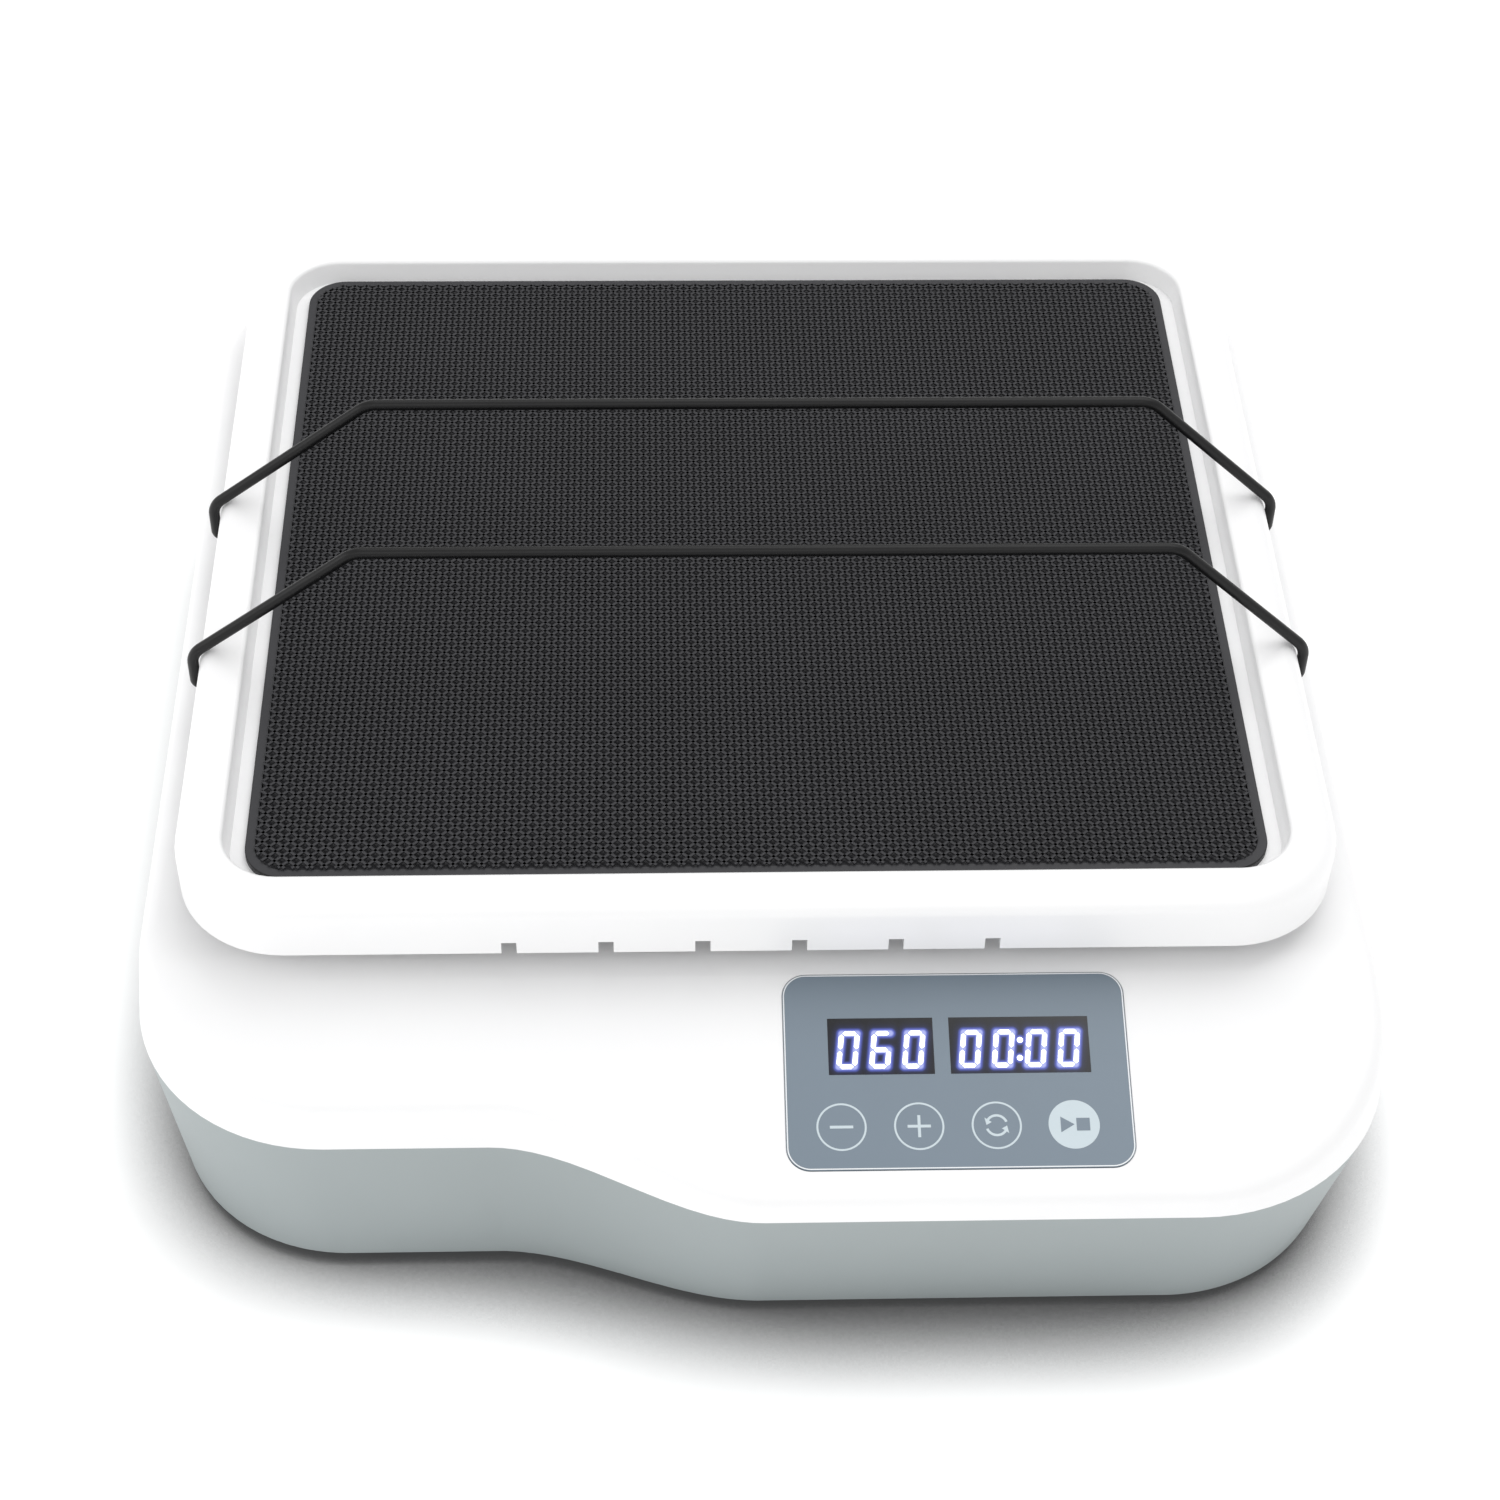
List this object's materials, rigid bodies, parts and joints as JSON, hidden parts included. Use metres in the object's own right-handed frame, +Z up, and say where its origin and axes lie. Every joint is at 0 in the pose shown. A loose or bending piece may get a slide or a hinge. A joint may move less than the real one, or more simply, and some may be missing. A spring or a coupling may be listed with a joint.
{
  "type": "orbital shaker",
  "caption": "Bench orbital shaker: a rimmed tray with a rubber mat and hold-down bars circles on a crank and idlers over a two-part housing with a sloped control panel.",
  "frame": {"origin": "centre of the footprint, on the surface that the feet stand on", "axes": "+X to the right of the user, +Y to the back, +Z up; the control panel faces -Y"},
  "size_m": [0.328, 0.3596, 0.1438],
  "materials": {
    "upper_shell": "satin moulded ABS",
    "lower_shell": "fine textured moulded ABS",
    "tray_shell": "satin moulded ABS",
    "mat_rubber": "diamond textured",
    "bar_coating": "smooth dipped coating over steel wire",
    "foot_rubber": "matt",
    "seal_rubber": "matt",
    "panel_film": "fine textured printed film",
    "display": "gloss",
    "circuit_board": "solder mask",
    "steel": "bright zinc plated",
    "bearing_steel": "ground",
    "chassis_steel": "zinc plated sheet",
    "aluminium": "turned",
    "motor_can": "satin",
    "belt_rubber": "matt",
    "magnet": "nickel plated",
    "black_plastic": "moulded"
  },
  "bodies": {
    "base": {"lower_housing": "lower_shell", "upper_housing": "upper_shell", "deck_seals": "seal_rubber", "rubber_feet": "foot_rubber", "foot_screws": "steel", "housing_screws": "steel", "drive_chassis": "chassis_steel", "chassis_screws": "steel", "main_bearing_housing": "aluminium", "main_bearing_housing_screws": "steel", "main_bearing_lower": "bearing_steel", "main_bearing_upper": "bearing_steel", "idler_bearing_housings": "aluminium", "idler_housing_screws": "steel", "idler_bearings": "bearing_steel", "motor_body": "motor_can", "motor_screws": "steel", "drive_belt": "belt_rubber", "control_board": "circuit_board", "control_board_screws": "steel", "display_board": "circuit_board", "display_board_screws": "steel", "speed_display": "display", "time_display": "display", "panel_overlay": "panel_film", "touch_sensors": "black_plastic", "power_inlet": "black_plastic", "switch_frame": "black_plastic", "speed_sensor": "black_plastic"},
    "crank": {"crank_shaft": "steel", "crank_arm": "steel", "retaining_clip": "steel", "driven_pulley": "aluminium", "counterweight": "steel", "counterweight_screws": "steel", "speed_magnet": "magnet"},
    "idler_front_left": {"idler_crank_front_left": "steel"},
    "idler_front_right": {"idler_crank_front_right": "steel"},
    "idler_rear_left": {"idler_crank_rear_left": "steel"},
    "idler_rear_right": {"idler_crank_rear_right": "steel"},
    "rotor": {"motor_shaft": "steel", "motor_pulley": "aluminium"},
    "rocker": {"power_rocker": "black_plastic"},
    "platform": {"platform_tray": "tray_shell", "rubber_mat": "mat_rubber", "hold_down_bar_rear": "bar_coating", "hold_down_bar_front": "bar_coating", "platform_hub": "aluminium", "hub_screws": "steel", "platform_bearing": "bearing_steel", "platform_idler_bearings": "bearing_steel"}
  },
  "joints": [
    {"name": "crank_spin", "type": "hinge", "parent": "base", "child": "crank", "pos_m": [0, 0.015, 0.08], "axis": [0, 0, 1], "continuous": true},
    {"name": "platform_spin", "type": "hinge", "parent": "crank", "child": "platform", "pos_m": [0, 0.02, 0.09], "axis": [0, 0, 1], "continuous": true},
    {"name": "idler_front_left_spin", "type": "hinge", "parent": "base", "child": "idler_front_left", "pos_m": [-0.1, -0.075, 0.08], "axis": [0, 0, 1], "continuous": true},
    {"name": "idler_front_right_spin", "type": "hinge", "parent": "base", "child": "idler_front_right", "pos_m": [0.1, -0.075, 0.08], "axis": [0, 0, 1], "continuous": true},
    {"name": "idler_rear_left_spin", "type": "hinge", "parent": "base", "child": "idler_rear_left", "pos_m": [-0.1, 0.105, 0.08], "axis": [0, 0, 1], "continuous": true},
    {"name": "idler_rear_right_spin", "type": "hinge", "parent": "base", "child": "idler_rear_right", "pos_m": [0.1, 0.105, 0.08], "axis": [0, 0, 1], "continuous": true},
    {"name": "rotor_spin", "type": "hinge", "parent": "base", "child": "rotor", "pos_m": [0, -0.09, 0.07], "axis": [0, 0, 1], "continuous": true},
    {"name": "rocker_tilt", "type": "hinge", "parent": "base", "child": "rocker", "pos_m": [-0.016, 0.17433, 0.02523], "axis": [1, 0, 0], "range_deg": [0, 14]}
  ],
  "couplings": [
    {"joint": "platform_spin", "follows": "crank_spin", "ratio": -1},
    {"joint": "idler_front_left_spin", "follows": "crank_spin", "ratio": 1},
    {"joint": "idler_front_right_spin", "follows": "crank_spin", "ratio": 1},
    {"joint": "idler_rear_left_spin", "follows": "crank_spin", "ratio": 1},
    {"joint": "idler_rear_right_spin", "follows": "crank_spin", "ratio": 1},
    {"joint": "rotor_spin", "follows": "crank_spin", "ratio": 4}
  ]
}
